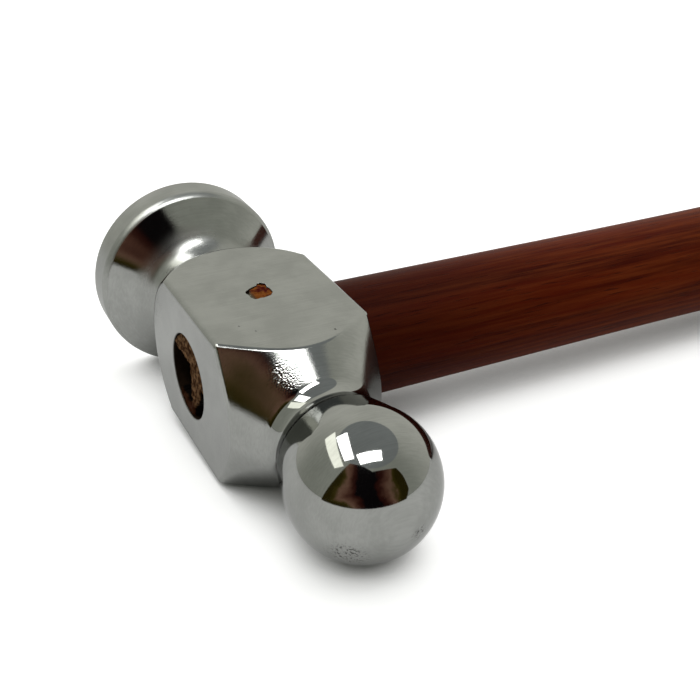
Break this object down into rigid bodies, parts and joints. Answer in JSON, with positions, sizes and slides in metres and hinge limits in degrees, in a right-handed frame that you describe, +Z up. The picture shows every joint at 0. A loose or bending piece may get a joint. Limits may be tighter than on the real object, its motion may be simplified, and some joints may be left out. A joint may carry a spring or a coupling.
{
  "type": "ball peen hammer",
  "caption": "Small ball peen hammer: chromed steel head with a square middle, hemispherical peen and flared round face, pinned on a varnished round wooden handle.",
  "frame": {"origin": "bottom centre of the bounding box of the hammer as it lies at rest on the rim of its face, its ball and its grip", "axes": "+X along the handle from the head to the butt, +Z up from the surface it lies on, +Y towards the striking face"},
  "size_m": [0.2588, 0.0684, 0.0277],
  "materials": {
    "chromed_steel": "polished",
    "varnished_wood": "gloss",
    "dark_steel": "satin",
    "rusted_steel": "matte"
  },
  "bodies": {
    "root": {"head": "chromed_steel", "handle": "varnished_wood", "eye_wedge": "dark_steel", "cross_pin": "rusted_steel"}
  },
  "joints": []
}
